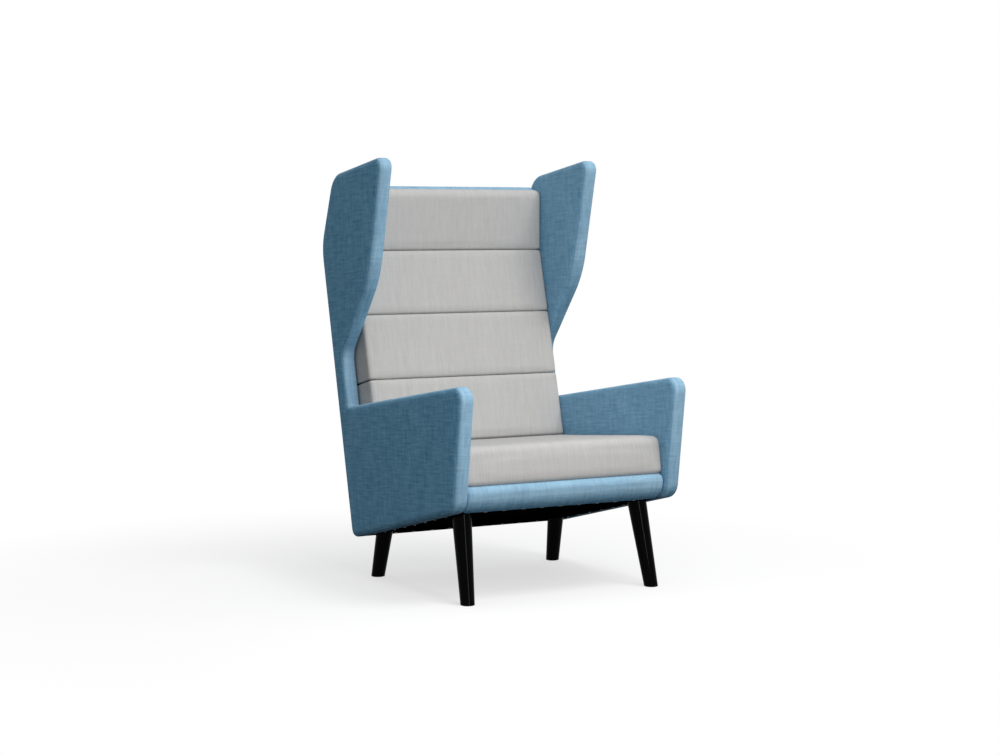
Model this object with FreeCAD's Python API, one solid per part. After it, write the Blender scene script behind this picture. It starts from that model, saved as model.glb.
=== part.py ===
import FreeCAD, Part
import math
import os

os.makedirs("parts", exist_ok=True)

# Acoustic high back lounge chair: two padded side walls that are arm and wing in one,
# a padded back between them, a sprung seat box, cushions in separate covers and four turned legs.
# Millimetres and degrees. x runs across, -y is the front, z = 0 is the floor.
# Left is -x and right is +x, as the chair is seen from the front.

# Whole chair
overall_width = 780.0
overall_height = 1300.0
shell_tilt = 13.3
rear_corner_height = 122.0
rear_corner_setback = 333.0

# Side wall outline, seen from the side
kink_height = 1028.0
head_lean = 20.7
top_slope = 8.9
wing_depth = 357.0
wing_lean = 14.3
cheek_lean = 38.7
neck_depth = 70.0
neck_height = 698.0
arm_height = 646.0
arm_reach = 714.0
arm_slope = 8.9
arm_front_lean = 7.4
rear_bottom_radius = 25.0
kink_radius = 110.0
head_rear_radius = 60.0
wing_tip_radius = 28.0
cheek_radius = 200.0
neck_radius = 68.0
arm_root_radius = 12.0
arm_tip_radius = 38.0
arm_foot_radius = 40.0

# Layers of the padded walls
side_thickness = 48.0
side_board_thickness = 18.0
rim_padding = 12.0
rim_radius = 14.0
cover_thickness = 1.5
back_thickness = 36.0
back_board_thickness = 15.0
back_recess = 4.0
back_top_drop = 33.0
fit = 0.3

# Seat box
deck_front_height = 350.5
deck_slope = 4.9
deck_pad_thickness = 6.0
rail_setback = 10.0
rail_padding = 30.0
rail_top_radius = 22.0
rail_bottom_radius = 42.0
beam_thickness = 25.0
side_rail_thickness = 20.0
block_length = 95.0
block_width = 72.0
block_height = 45.0
dust_cover_thickness = 1.2

# Springs under the seat
spring_count = 5
spring_spacing = 118.0
spring_wire = 3.8
spring_width = 46.0
spring_pitch = 27.0
clip_wall = 1.2
clip_play = 0.2
clip_length = 12.0
clip_width = 20.0

# Seat cushion
seat_thickness = 111.0
seat_crown = 6.0
seat_front_crown = 4.0
seat_setback = 24.0
seat_front_lean = 9.0
seat_front_radius = 24.0
seat_rear_radius = 12.0
seat_bottom_radius = 7.0
seat_base_thickness = 1.2

# Back cushion, depths measured forward from the rear of the shell
section_names = ("lumbar", "middle", "shoulder", "head")
lumbar_depth = 153.0
shoulder_depth = 142.0
first_channel = 474.0
section_length = 206.5
channel_depth = 9.0
channel_half_width = 0.8
channel_radius = 7.5
section_crown = 4.0
cushion_foot_radius = 8.0
head_top_radius = 20.0
head_top_drop = 2.0
backing_thickness = 1.5

# Sides of every cushion
cushion_side_gap = 1.5
end_draw = 13.0
side_fullness = 14
half_stations = 5

# Legs and what holds them
foot_inset = 70.0
foot_spacing_y = 578.0
leg_side_lean = 3.1
rear_leg_lean = 12.4
foot_diameter = 42.0
leg_taper = 0.063
glide_diameter = 34.0
glide_thickness = 5.0
glide_lift = 1.5
plate_length = 70.0
plate_width = 62.0
plate_thickness = 2.5
boss_diameter = 15.0
boss_height = 8.0
leg_bolt_diameter = 8.0
leg_bolt_in_leg = 35.0
leg_bolt_above = 34.0
screw_diameter = 4.0
screw_head_diameter = 8.0
screw_length = 22.0
screw_edge = 9.0

# Bolts between side walls, seat box and back
seat_bolt_height = 42.0
seat_bolt_first = 200.0
seat_bolt_step = 145.0
seat_bolts_per_side = 3
seat_bolt_diameter = 8.0
nut_width = 13.0
nut_height = 6.5
back_bolt_first = 140.0
back_bolt_step = 240.0
back_bolts_per_side = 4
back_bolt_diameter = 6.0
back_bolt_grip = 30.0
bolt_head_factor = 1.7
bolt_head_height = 4.0

# Staples that hold the dust cover
staple_crown = 12.0
staple_wire = 1.0
staple_height = 0.5
staples_per_side = 7
staples_front = 9
staple_edge = 9.0

# Smallest round that an inset outline keeps
smallest_radius = 1.0
# Share of a run that a soft crown's arc takes up
crown_share = 0.45
# How far the space inside the seat cushion's cover is carried through its open bottom
cushion_opening = 10.0
# How far cutting solids reach past what they cut
beyond = 60.0

half_width = overall_width / 2
inner_half = half_width - side_thickness
cushion_half = inner_half - cushion_side_gap
foot_x = half_width - foot_inset


# Lines in the side view are (y, z, heading); the material lies to their left.

def inset(line, depth):
    y, z, heading = line
    turn = math.radians(heading)
    return (y - depth * math.sin(turn), z + depth * math.cos(turn), heading)


def meet(one, two):
    y1, z1, a1 = one
    y2, z2, a2 = two
    c1, s1 = math.cos(math.radians(a1)), math.sin(math.radians(a1))
    c2, s2 = math.cos(math.radians(a2)), math.sin(math.radians(a2))
    along = ((y2 - y1) * s2 - (z2 - z1) * c2) / (c1 * s2 - s1 * c2)
    return (y1 + along * c1, z1 + along * s1)


def flipped(line):
    return (line[0], line[1], line[2] + 180)


def turn_between(one, two):
    return (two[2] - one[2] + 540) % 360 - 180


def shell_point(forward, up):
    """A point by its distance forward along the underside and up along the back."""
    tilt = math.radians(shell_tilt)
    y = rear_corner_setback - forward * math.cos(tilt) + up * math.sin(tilt)
    z = rear_corner_height + forward * math.sin(tilt) + up * math.cos(tilt)
    return (y, z)


# The edge lines of the shell
bottom_line = (rear_corner_setback, rear_corner_height, -shell_tilt)
rear_line = (rear_corner_setback, rear_corner_height, 90 - shell_tilt)
kink_y = rear_corner_setback + (kink_height - rear_corner_height) * math.tan(math.radians(shell_tilt))
head_line = (kink_y, kink_height, 90 + head_lean)
wing_line = (kink_y - wing_depth, kink_height, wing_lean - 90)
neck_line = inset((rear_corner_setback, rear_corner_height, -90 - shell_tilt), -neck_depth)
neck_corner = meet(neck_line, (0.0, neck_height, 0.0))
cheek_line = (neck_corner[0], neck_corner[1], cheek_lean - 90)
arm_tip = (rear_corner_setback - arm_reach, arm_height)
arm_line = (arm_tip[0], arm_tip[1], 180 - arm_slope)
arm_front_line = (arm_tip[0], arm_tip[1], arm_front_lean - 90)


def top_edge():
    """The top edge, placed so that the rounded wing tip reaches the overall height."""
    tip_height = overall_height - wing_tip_radius
    centre = meet(inset(wing_line, wing_tip_radius), (0.0, tip_height, 0.0))
    return inset((centre[0], centre[1], 180 - top_slope), -wing_tip_radius)


top_line = top_edge()

# The deck is the plane that the seat cushion lies on
deck_front_y = meet(inset(arm_front_line, rail_setback), (0.0, deck_front_height, 0.0))[0]
deck_line = (deck_front_y, deck_front_height, -deck_slope)
under_line = inset(bottom_line, dust_cover_thickness)


# Outlines and solids

def arc_corner(before, corner, after, radius):
    """Tangent points and middle of the arc that rounds a corner."""
    back = (before[0] - corner[0], before[1] - corner[1])
    ahead = (after[0] - corner[0], after[1] - corner[1])
    back_length = math.hypot(*back)
    ahead_length = math.hypot(*ahead)
    back = (back[0] / back_length, back[1] / back_length)
    ahead = (ahead[0] / ahead_length, ahead[1] / ahead_length)
    half = math.acos(max(-1.0, min(1.0, back[0] * ahead[0] + back[1] * ahead[1]))) / 2
    reach = radius / math.tan(half)
    middle = (back[0] + ahead[0], back[1] + ahead[1])
    size = math.hypot(*middle)
    rise = radius / math.sin(half) - radius
    start = (corner[0] + back[0] * reach, corner[1] + back[1] * reach)
    top = (corner[0] + middle[0] / size * rise, corner[1] + middle[1] / size * rise)
    end = (corner[0] + ahead[0] * reach, corner[1] + ahead[1] * reach)
    return start, top, end


def soft_radius(before, corner, after):
    """Radius of the long arc that crowns a soft face between two of its corners."""
    run = min(math.dist(before, corner), math.dist(corner, after))
    one = math.atan2(corner[1] - before[1], corner[0] - before[0])
    two = math.atan2(after[1] - corner[1], after[0] - corner[0])
    turn = abs((two - one + math.pi) % (2 * math.pi) - math.pi)
    return crown_share * run / math.tan(turn / 2)


def loop(corners, x=0.0):
    """Closed wire in the plane x through corners (y, z, radius), rounded where radius > 0."""
    points = [corner[:2] for corner in corners]
    rounds = []
    for i, (y, z, radius) in enumerate(corners):
        before, after = points[i - 1], points[(i + 1) % len(points)]
        if radius > 0:
            rounds.append(arc_corner(before, (y, z), after, radius))
        else:
            rounds.append(((y, z), None, (y, z)))
    edges = []
    for i, (start, top, end) in enumerate(rounds):
        if top is not None:
            three = [FreeCAD.Vector(x, *point) for point in (start, top, end)]
            edges.append(Part.Arc(*three).toShape())
        following = rounds[(i + 1) % len(rounds)][0]
        if math.dist(end, following) > 1e-6:
            ends = [FreeCAD.Vector(x, *point) for point in (end, following)]
            edges.append(Part.LineSegment(*ends).toShape())
    return Part.Wire(edges)


def prism(corners, x0, x1):
    low, high = min(x0, x1), max(x0, x1)
    return Part.Face(loop(corners, low)).extrude(FreeCAD.Vector(high - low, 0, 0))


def round_rims(solid, radius, planes):
    """Round the edges of a prism's flat faces that lie at the given places across the chair."""
    rims = [edge for edge in solid.Edges
            if any(all(abs(vertex.X - x) < 1e-6 for vertex in edge.Vertexes) for x in planes)]
    return solid.makeFillet(radius, rims)


def half_space(line):
    """All that lies to the left of a line in the side view."""
    reach = 2 * overall_height
    y, z, heading = line
    step = (reach * math.cos(math.radians(heading)), reach * math.sin(math.radians(heading)))
    far_y, far_z = inset(line, reach)[:2]
    corners = [(y - step[0], z - step[1], 0), (y + step[0], z + step[1], 0),
               (far_y + step[0], far_z + step[1], 0), (far_y - step[0], far_z - step[1], 0)]
    return prism(corners, -overall_width, overall_width)


def rod(start, end, diameter):
    direction = end - start
    return Part.makeCylinder(diameter / 2, direction.Length, start, direction)


def across(side, depth):
    """x of the plane at a depth inside the outer face of a side wall."""
    return side * (half_width - depth)


def quad(line_a, line_b, line_c, line_d, radii=(0, 0, 0, 0)):
    """Corners where four lines meet in turn: a with b, b with c, c with d, d with a."""
    pairs = ((line_a, line_b), (line_b, line_c), (line_c, line_d), (line_d, line_a))
    return [(*meet(*pair), radius) for pair, radius in zip(pairs, radii)]


# Side walls

def side_corners(depth, bottom_depth=None):
    """The wall's outline moved in by a depth, or by another one with full rounds at its bottom."""
    bottom = depth if bottom_depth is None else bottom_depth
    lines = [inset(bottom_line, bottom)]
    others = (rear_line, head_line, top_line, wing_line, cheek_line,
              neck_line, arm_line, arm_front_line)
    lines += [inset(line, depth) for line in others]
    radii = (rear_bottom_radius, kink_radius, head_rear_radius, wing_tip_radius, cheek_radius,
             neck_radius, arm_root_radius, arm_tip_radius, arm_foot_radius)
    corners = []
    for i, radius in enumerate(radii):
        one, two = lines[i], lines[(i + 1) % len(lines)]
        outward = math.copysign(1, turn_between(one, two))
        at_bottom = i in (0, len(radii) - 1)
        shrink = 0.0 if at_bottom and bottom_depth is not None else depth * outward
        corners.append((*meet(one, two), max(radius - shrink, smallest_radius)))
    return corners


def side_form(side, depth):
    """The padded wall's full form, moved in by a depth on every face."""
    faces = (across(side, depth), across(side, side_thickness - depth))
    return round_rims(prism(side_corners(depth), *faces), rim_radius - depth, faces)


def half_padding(side, near):
    """Foam on one face of the board, from under the cover to the middle of the wall."""
    face, middle = across(side, near), across(side, side_thickness / 2)
    block = prism(side_corners(cover_thickness), face, middle)
    return round_rims(block, rim_radius - cover_thickness, (face,)).cut(side_board(side))


board_depth = (side_thickness - side_board_thickness) / 2


def side_board(side):
    """Plywood core; its bottom edge is bare of foam, for the staples of the cover."""
    outline = side_corners(cover_thickness + rim_padding, 0.0)
    blank = prism(outline, across(side, board_depth), across(side, side_thickness - board_depth))
    return blank.common(half_space(inset(bottom_line, cover_thickness)))


def base_strip(side, extra=0.0):
    """Tape that closes the seam of the cover along the wall's bottom edge."""
    front = meet(bottom_line, arm_front_line)
    span = math.dist(front, (rear_corner_setback, rear_corner_height))
    near = arm_foot_radius + rim_padding - extra
    far = rear_bottom_radius + rim_padding - extra
    corners = [(*shell_point(far, -extra), 0), (*shell_point(far, cover_thickness), 0),
               (*shell_point(span - near, cover_thickness), 0), (*shell_point(span - near, -extra), 0)]
    edge = board_depth + fit - extra
    return prism(corners, across(side, edge), across(side, side_thickness - edge))


def side_wall(side):
    cover = side_form(side, 0.0).cut(side_form(side, cover_thickness)).cut(base_strip(side, fit))
    return {"board": side_board(side), "cover": cover, "base_strip": base_strip(side),
            "outer_foam": half_padding(side, cover_thickness),
            "inner_foam": half_padding(side, side_thickness - cover_thickness)}


# Back panel between the side walls

def back_band(near, far, top_cut, bottom=None):
    """A bent layer of the back between two depths, cut square at its top end."""
    rear_top = meet(head_line, top_line)
    drop = back_top_drop + top_cut
    lean = math.radians(head_lean)
    end_line = (rear_top[0] + drop * math.sin(lean), rear_top[1] - drop * math.cos(lean),
                180 + head_lean)
    base = under_line if bottom is None else bottom
    rear_in, rear_out = inset(rear_line, far), inset(rear_line, near)
    head_in, head_out = inset(head_line, far), inset(head_line, near)
    return [(*meet(base, rear_out), 0),
            (*meet(rear_out, head_out), kink_radius - near),
            (*meet(head_out, end_line), 0), (*meet(end_line, head_in), 0),
            (*meet(head_in, rear_in), kink_radius - far),
            (*meet(rear_in, base), 0)]


def back_layer(near, far, top_cut, bottom=None):
    reach = inner_half - fit
    return prism(back_band(near, far, top_cut, bottom), -reach, reach)


back_front = back_recess + back_thickness
back_foam_depth = back_recess + cover_thickness
back_board_depth = back_recess + (back_thickness - back_board_thickness) / 2
back_board_front = back_board_depth + back_board_thickness


def back_panel():
    below = inset(bottom_line, -beyond)
    cavity = back_layer(back_foam_depth, back_front - cover_thickness, cover_thickness, below)
    return {"back_board": back_layer(back_board_depth, back_board_front, cover_thickness),
            "back_rear_foam": back_layer(back_foam_depth, back_board_depth, cover_thickness),
            "back_front_foam": back_layer(back_board_front, back_front - cover_thickness,
                                          cover_thickness),
            "back_cover": back_layer(back_recess, back_front, 0.0).cut(cavity)}


# Seat box

pad_under_line = inset(deck_line, -deck_pad_thickness)
clip_height = spring_wire + clip_play + 2 * clip_wall
beam_top_line = inset(pad_under_line, -clip_height)
rail_line = inset(arm_front_line, rail_setback)
beam_front_line = inset(rail_line, rail_padding)
beam_rear_line = inset(beam_front_line, beam_thickness)
rear_beam_rear_line = inset(rear_line, back_front + fit)
rear_beam_front_line = inset(rear_beam_rear_line, beam_thickness)
box_half = inner_half - fit


def front_rail():
    """Bullnose pad in front of the front beam: its cover and its foam."""
    open_line = inset(beam_front_line, beyond)

    def bullnose(depth, rear):
        top, front = inset(deck_line, -depth), inset(rail_line, depth)
        bottom = inset(bottom_line, depth)
        radii = (rail_top_radius - depth, rail_bottom_radius - depth, 0, 0)
        return quad(top, front, bottom, rear, radii)

    outer = prism(bullnose(0.0, beam_front_line), -box_half, box_half)
    cavity = prism(bullnose(cover_thickness, open_line), -half_width, half_width)
    foam = prism(bullnose(cover_thickness, beam_front_line), -box_half, box_half)
    return {"front_rail_cover": outer.cut(cavity), "front_rail_foam": foam}


def seat_box():
    inside = box_half - side_rail_thickness
    front = quad(under_line, beam_rear_line, beam_top_line, beam_front_line)
    rear = quad(under_line, rear_beam_rear_line, beam_top_line, rear_beam_front_line)
    rail = quad(under_line, rear_beam_front_line, pad_under_line, beam_rear_line)
    pieces = {"front_beam": prism(front, -box_half, box_half),
              "rear_beam": prism(rear, -box_half, box_half),
              "left_seat_rail": prism(rail, -box_half, -inside),
              "right_seat_rail": prism(rail, inside, box_half)}
    block_top = inset(under_line, block_height)
    ends = {"front": (inset(beam_rear_line, block_length), beam_rear_line),
            "rear": (rear_beam_front_line, inset(rear_beam_front_line, block_length))}
    for end, (one, two) in ends.items():
        for name, side in (("left", -1), ("right", 1)):
            corners = quad(under_line, one, block_top, two)
            pieces[f"{end}_{name}_corner_block"] = prism(corners, side * inside,
                                                         side * (inside - block_width))
    return pieces


def deck_pad():
    return prism(quad(pad_under_line, rear_beam_rear_line, deck_line, beam_front_line),
                 -box_half, box_half)


# Springs and their clips

spring_line = inset(beam_top_line, clip_height / 2)
spring_front = meet(inset(beam_front_line, beam_thickness / 2), spring_line)
spring_rear = meet(inset(rear_beam_rear_line, beam_thickness / 2), spring_line)


def along_deck(x, distance, up=0.0):
    """Point at a distance rearward from the springs' front ends, in their plane."""
    turn = math.radians(deck_slope)
    return FreeCAD.Vector(x, spring_front[0] + distance * math.cos(turn) + up * math.sin(turn),
                          spring_front[1] - distance * math.sin(turn) + up * math.cos(turn))


def zigzag_spring(x):
    length = math.dist(spring_front, spring_rear)
    count = max(1, round(length / spring_pitch))
    pitch = length / count
    edge = (spring_width - pitch) / 2
    edges = []
    for i in range(count + 1):
        hand = 1 if i % 2 == 0 else -1
        at = i * pitch
        ends = along_deck(x - hand * edge, at), along_deck(x + hand * edge, at)
        edges.append(Part.LineSegment(*ends).toShape())
        if i < count:
            bend = (along_deck(x + hand * edge, at),
                    along_deck(x + hand * spring_width / 2, at + pitch / 2),
                    along_deck(x + hand * edge, at + pitch))
            edges.append(Part.Arc(*bend).toShape())
    start = along_deck(x - edge, 0.0)
    ring = Part.Wire(Part.makeCircle(spring_wire / 2, start, FreeCAD.Vector(1, 0, 0)))
    return Part.Wire(edges).makePipe(Part.Face(ring))


def spring_clip(x, rear):
    """A folded steel clip that grips the end run of a spring."""
    length = math.dist(spring_front, spring_rear)
    hand = -1 if rear else 1
    at = length if rear else 0.0
    outside = at - hand * (spring_wire / 2 + clip_play / 2 + clip_wall)
    inside = outside + hand * clip_length
    slot = clip_height / 2 - clip_wall

    def block(start, end, half, width):
        points = [along_deck(x - width / 2, *pair)
                  for pair in ((start, -half), (end, -half), (end, half), (start, half))]
        face = Part.Face(Part.makePolygon(points + points[:1]))
        return face.extrude(FreeCAD.Vector(width, 0, 0))

    body = block(outside, inside, clip_height / 2, clip_width)
    return body.cut(block(outside + hand * clip_wall, inside + hand * clip_wall, slot, 2 * clip_width))


def springs():
    places = [(i - (spring_count - 1) / 2) * spring_spacing for i in range(spring_count)]
    pieces = {f"seat_spring_{i + 1}": zigzag_spring(x) for i, x in enumerate(places)}
    clips = [spring_clip(x, rear) for x in places for rear in (False, True)]
    pieces["spring_clips"] = Part.makeCompound(clips)
    return pieces


# Cushions

def stations(reach):
    """Places across a cushion, closer together near its ends, and how far it is drawn in there."""
    for i in range(-half_stations, half_stations + 1):
        share = math.sin(i / half_stations * math.pi / 2)
        yield reach * share, end_draw * abs(share) ** side_fullness


def lofted(outline_at, trim=0.0):
    """A crowned form across the chair, drawn in at its ends and trimmed in by a thickness."""
    wires = [loop(outline_at(draw), x) for x, draw in stations(cushion_half - trim)]
    return Part.makeLoft(wires, True, False)


def crowned(start, end, crown):
    """The soft corner halfway along a face, pushed out to the face's right."""
    heading = math.atan2(end[1] - start[1], end[0] - start[0])
    middle = ((start[0] + end[0]) / 2 + crown * math.sin(heading),
              (start[1] + end[1]) / 2 - crown * math.cos(heading))
    return (*middle, soft_radius(start[:2], middle, end[:2]))


# Back cushion: four sections with sewn channels between them

back_start = back_front + backing_thickness
section_count = len(section_names)
channels = [first_channel + i * section_length for i in range(section_count - 1)]


def face_depth(up):
    """Depth of the cushion's face at a height up the back."""
    low, high = channels[0] - section_length, channels[-1]
    return lumbar_depth + (shoulder_depth - lumbar_depth) * (up - low) / (high - low)


def face_lines():
    """Front faces from the bottom up: straight along the back, then upright for the head."""
    low, high = channels[0] - section_length, channels[-1]
    (y1, z1), (y0, z0) = shell_point(face_depth(high), high), shell_point(face_depth(low), low)
    lower = (y1, z1, math.degrees(math.atan2(z0 - z1, y0 - y1)))
    return [lower] * (section_count - 1) + [(y1, z1, -90.0)]


def section_ends():
    """The lines that part the sections, each with the section below it to its left."""
    panel_top = back_band(back_recess, back_front, 0.0)[3]
    lean = math.radians(head_lean)
    top = (panel_top[0] + head_top_drop * math.sin(lean),
           panel_top[1] - head_top_drop * math.cos(lean), 180 - top_slope)
    seams = [(*shell_point(0.0, up), 180 - shell_tilt) for up in channels]
    return [flipped(inset(deck_line, fit))] + seams + [top]


def cushion_outline(draw):
    """Outline of the whole back cushion with its channels, its rear left far behind."""
    ends, faces = section_ends(), [inset(face, draw) for face in face_lines()]
    rear = inset(rear_line, back_recess)
    corners = [(*meet(ends[0], rear), 0), (*meet(rear, inset(ends[-1], draw)), 0)]
    for i in range(section_count - 1, -1, -1):
        face, low, high = faces[i], ends[i], ends[i + 1]
        if i == section_count - 1:
            start = (*meet(inset(high, draw), face), head_top_radius)
        else:
            start = (*meet(inset(high, channel_half_width), face), channel_radius)
        if i == 0:
            end = (*meet(low, face), cushion_foot_radius)
        else:
            end = (*meet(inset(low, -channel_half_width), face), channel_radius)
        corners += [start, crowned(start, end, section_crown), end]
        if i > 0:
            corners.append((*meet(inset(face, channel_depth), low), 0))
    return corners


def section_outline(index, draw):
    """Outline of the space inside the cover for one section's foam, open behind."""
    ends, last = section_ends(), section_count - 1
    face = inset(face_lines()[index], draw + cover_thickness)
    high = inset(ends[index + 1], cover_thickness + (draw if index == last else 0.0))
    low = inset(flipped(ends[index]), cover_thickness)
    start = (*meet(high, face), head_top_radius if index == last else channel_radius)
    end = (*meet(low, face), channel_radius if index > 0 else cushion_foot_radius)
    return [(*meet(low, rear_line), 0), (*meet(rear_line, high), 0),
            start, crowned(start, end, section_crown), end]


def back_cushion():
    below = inset(bottom_line, -beyond)
    wall = prism(back_band(-half_width, back_start, -beyond, below), -half_width, half_width)
    cover = lofted(cushion_outline).cut(wall)
    pieces = {}
    for index, name in enumerate(section_names):
        fill = lofted(lambda draw, i=index: section_outline(i, draw), cover_thickness)
        cover = cover.cut(fill)
        pieces[f"{name}_section_foam"] = fill.cut(wall)
    sheet = prism(back_band(back_front, back_start, 0.0, inset(deck_line, fit)),
                  -cushion_half, cushion_half)
    pieces["back_cushion_cover"] = cover
    pieces["back_cushion_backing"] = sheet.cut(half_space(flipped(section_ends()[-1])))
    return pieces


# Seat cushion

def seat_outline(draw, trim=0.0, drop=0.0):
    """Seat cushion's outline, drawn in at top and front, or its inside left open below."""
    foot = meet(deck_line, inset(arm_front_line, seat_setback))
    front = inset((foot[0], foot[1], -90 - seat_front_lean), draw + trim)
    rear = inset(flipped(face_lines()[0]), section_crown + fit + trim)
    bottom = inset(deck_line, fit + seat_base_thickness - drop)
    top = inset((deck_line[0], deck_line[1], 180 - deck_slope), draw + trim - seat_thickness)
    low_radius = 0.0 if drop else seat_bottom_radius
    radii = (low_radius, seat_rear_radius, seat_front_radius, low_radius)
    low_rear, high_rear, high_front, low_front = quad(bottom, rear, top, front, radii)
    return [low_rear, high_rear, crowned(high_rear, high_front, seat_crown), high_front,
            crowned(high_front, low_front, seat_front_crown), low_front]


def seat_cushion():
    outer = lofted(seat_outline)
    inside = lofted(lambda draw: seat_outline(draw, cover_thickness, cushion_opening),
                    cover_thickness)
    foot, rear = meet(deck_line, inset(arm_front_line, seat_setback)), flipped(face_lines()[0])
    edge = end_draw + seat_bottom_radius
    base = quad(inset(deck_line, fit), inset(rear, section_crown + fit + seat_bottom_radius),
                inset(deck_line, fit + seat_base_thickness),
                inset((foot[0], foot[1], -90 - seat_front_lean), edge))
    reach = cushion_half - seat_bottom_radius
    return {"seat_cushion_cover": outer.cut(inside), "seat_cushion_foam": outer.common(inside),
            "seat_cushion_base": prism(base, -reach, reach)}


# Legs and the hardware that holds them

def leg_line(end, side):
    """Middle of a leg's top on the underside, and the direction up the leg."""
    hand = -1 if end == "front" else 1
    lean = shell_tilt if end == "front" else rear_leg_lean
    y, z = meet((hand * foot_spacing_y / 2, 0.0, 90 + hand * lean), under_line)
    run = math.tan(math.radians(leg_side_lean))
    top = FreeCAD.Vector(side * (foot_x - run * z), y, z)
    upward = FreeCAD.Vector(-side * run, -hand * math.tan(math.radians(lean)), 1.0)
    return top, upward.normalize()


def leg_cone(end, side, extra=0.0):
    """The leg's taper, carried past both of its ends."""
    top, upward = leg_line(end, side)
    length = top.z / upward.z
    foot_radius = foot_diameter / 2 + extra
    growth = leg_taper / 2
    start = top - upward * (length + beyond)
    return Part.makeCone(foot_radius - growth * beyond, foot_radius + growth * (length + beyond),
                         length + 2 * beyond, start, upward)


def glide(end, side):
    top, upward = leg_line(end, side)
    foot = top - upward * (top.z / upward.z)
    return Part.makeCylinder(glide_diameter / 2, glide_thickness, FreeCAD.Vector(foot.x, foot.y, 0))


def leg_bolt(end, side):
    top, upward = leg_line(end, side)
    return rod(top - upward * leg_bolt_in_leg, top + upward * leg_bolt_above, leg_bolt_diameter)


def leg(end, side):
    floor = half_space((0.0, glide_lift, 180.0))
    cone = leg_cone(end, side).cut(half_space(under_line)).cut(floor)
    return cone.cut(glide(end, side)).cut(leg_bolt(end, side))


def forward_of(point):
    """Distance of a (y, z) point forward along the underside."""
    tilt = math.radians(shell_tilt)
    return ((rear_corner_setback - point[0]) * math.cos(tilt)
            + (point[1] - rear_corner_height) * math.sin(tilt))


def plate_screws(end, side):
    """Four countersunk screws through a leg plate, square to the underside."""
    top = leg_line(end, side)[0]
    forward = forward_of((top.y, top.z))
    tilt = math.radians(shell_tilt)
    upward = FreeCAD.Vector(0, math.sin(tilt), math.cos(tilt))
    screws = []
    for along in (-1, 1):
        for over in (-1, 1):
            place = shell_point(forward + along * (plate_length / 2 - screw_edge), dust_cover_thickness)
            start = FreeCAD.Vector(top.x + over * (plate_width / 2 - screw_edge), *place)
            head = Part.makeCone(screw_head_diameter / 2, screw_diameter / 2, plate_thickness,
                                 start, upward)
            shank = rod(start, start + upward * screw_length, screw_diameter)
            screws.append(head.fuse(shank))
    return screws


def leg_plate(end, side):
    """Steel plate let into the frame, with a threaded boss that takes the leg's bolt."""
    top, upward = leg_line(end, side)
    forward = forward_of((top.y, top.z))
    ends = [(*shell_point(forward + hand * plate_length / 2, 0.0), 90 - shell_tilt)
            for hand in (-1, 1)]
    corners = quad(under_line, ends[0], inset(under_line, plate_thickness), ends[1])
    flat = prism(corners, top.x - plate_width / 2, top.x + plate_width / 2)
    boss = rod(top - upward * boss_height, top + upward * (plate_thickness + boss_height),
               boss_diameter)
    return flat.fuse(boss.common(half_space(under_line))).removeSplitter()


def leg_sets():
    """Legs with their glides and hardware, and the space that the hardware takes in the frame."""
    pieces, plates, bolts, screws = {}, [], [], []
    for end in ("front", "rear"):
        for name, side in (("left", -1), ("right", 1)):
            pieces[f"{end}_{name}_leg"] = leg(end, side)
            pieces[f"{end}_{name}_glide"] = glide(end, side)
            bolt, set_of_four = leg_bolt(end, side), plate_screws(end, side)
            plates.append(leg_plate(end, side))
            bolts.append(bolt)
            screws += set_of_four
    space = Part.makeCompound(plates + bolts + screws)
    pieces["leg_plates"] = Part.makeCompound([plate.cut(Part.makeCompound(bolts + screws))
                                              for plate in plates])
    pieces["leg_bolts"] = Part.makeCompound(bolts)
    pieces["leg_plate_screws"] = Part.makeCompound(screws)
    return pieces, space


# Dust cover and its staples

def dust_cover():
    """Cloth under the seat box, with a hole round each leg."""
    sheet = prism(quad(bottom_line, inset(rear_line, back_recess), under_line, beam_front_line),
                  -box_half, box_half)
    for end in ("front", "rear"):
        for side in (-1, 1):
            sheet = sheet.cut(leg_cone(end, side, fit))
    return sheet


def staple(x, forward, across_chair):
    """Crown of one staple, flat against the dust cover."""
    wide, long = (staple_crown, staple_wire) if across_chair else (staple_wire, staple_crown)
    corners = [(*shell_point(forward + along * long / 2, up), 0)
               for along, up in ((-1, 0.0), (1, 0.0), (1, -staple_height), (-1, -staple_height))]
    return prism(corners, x - wide / 2, x + wide / 2)


def dust_cover_staples():
    edge = box_half - staple_edge
    rear_leg, front_leg = (forward_of((top.y, top.z)) for top in
                           (leg_line("rear", 1)[0], leg_line("front", 1)[0]))
    clear = plate_length / 2 + staple_crown
    first, last = rear_leg + clear, front_leg - clear
    staples = []
    for i in range(staples_per_side):
        forward = first + (last - first) * i / (staples_per_side - 1)
        staples += [staple(side * edge, forward, False) for side in (-1, 1)]
    front = forward_of(meet(bottom_line, inset(beam_front_line, staple_edge)))
    rear = back_front + staple_edge
    reach = foot_x - plate_width
    for i in range(staples_front):
        x = -reach + 2 * reach * i / (staples_front - 1)
        staples += [staple(x, forward, True) for forward in (front, rear)]
    return Part.makeCompound(staples)


# Bolts between the side walls and what stands between them

def cross_bolt(side, point, inner_depth, diameter):
    """Countersunk bolt from the side board's outer face inward, along x."""
    start = FreeCAD.Vector(across(side, board_depth), *point)
    shank = rod(start, FreeCAD.Vector(across(side, inner_depth), *point), diameter)
    head = rod(start, start - FreeCAD.Vector(side * bolt_head_height, 0, 0),
               bolt_head_factor * diameter)
    return head.fuse(shank).removeSplitter()


def seat_bolt_points():
    return [shell_point(seat_bolt_first + i * seat_bolt_step, seat_bolt_height)
            for i in range(seat_bolts_per_side)]


def back_bolt_points():
    middle = back_board_depth + back_board_thickness / 2
    return [shell_point(middle, back_bolt_first + i * back_bolt_step)
            for i in range(back_bolts_per_side)]


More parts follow.
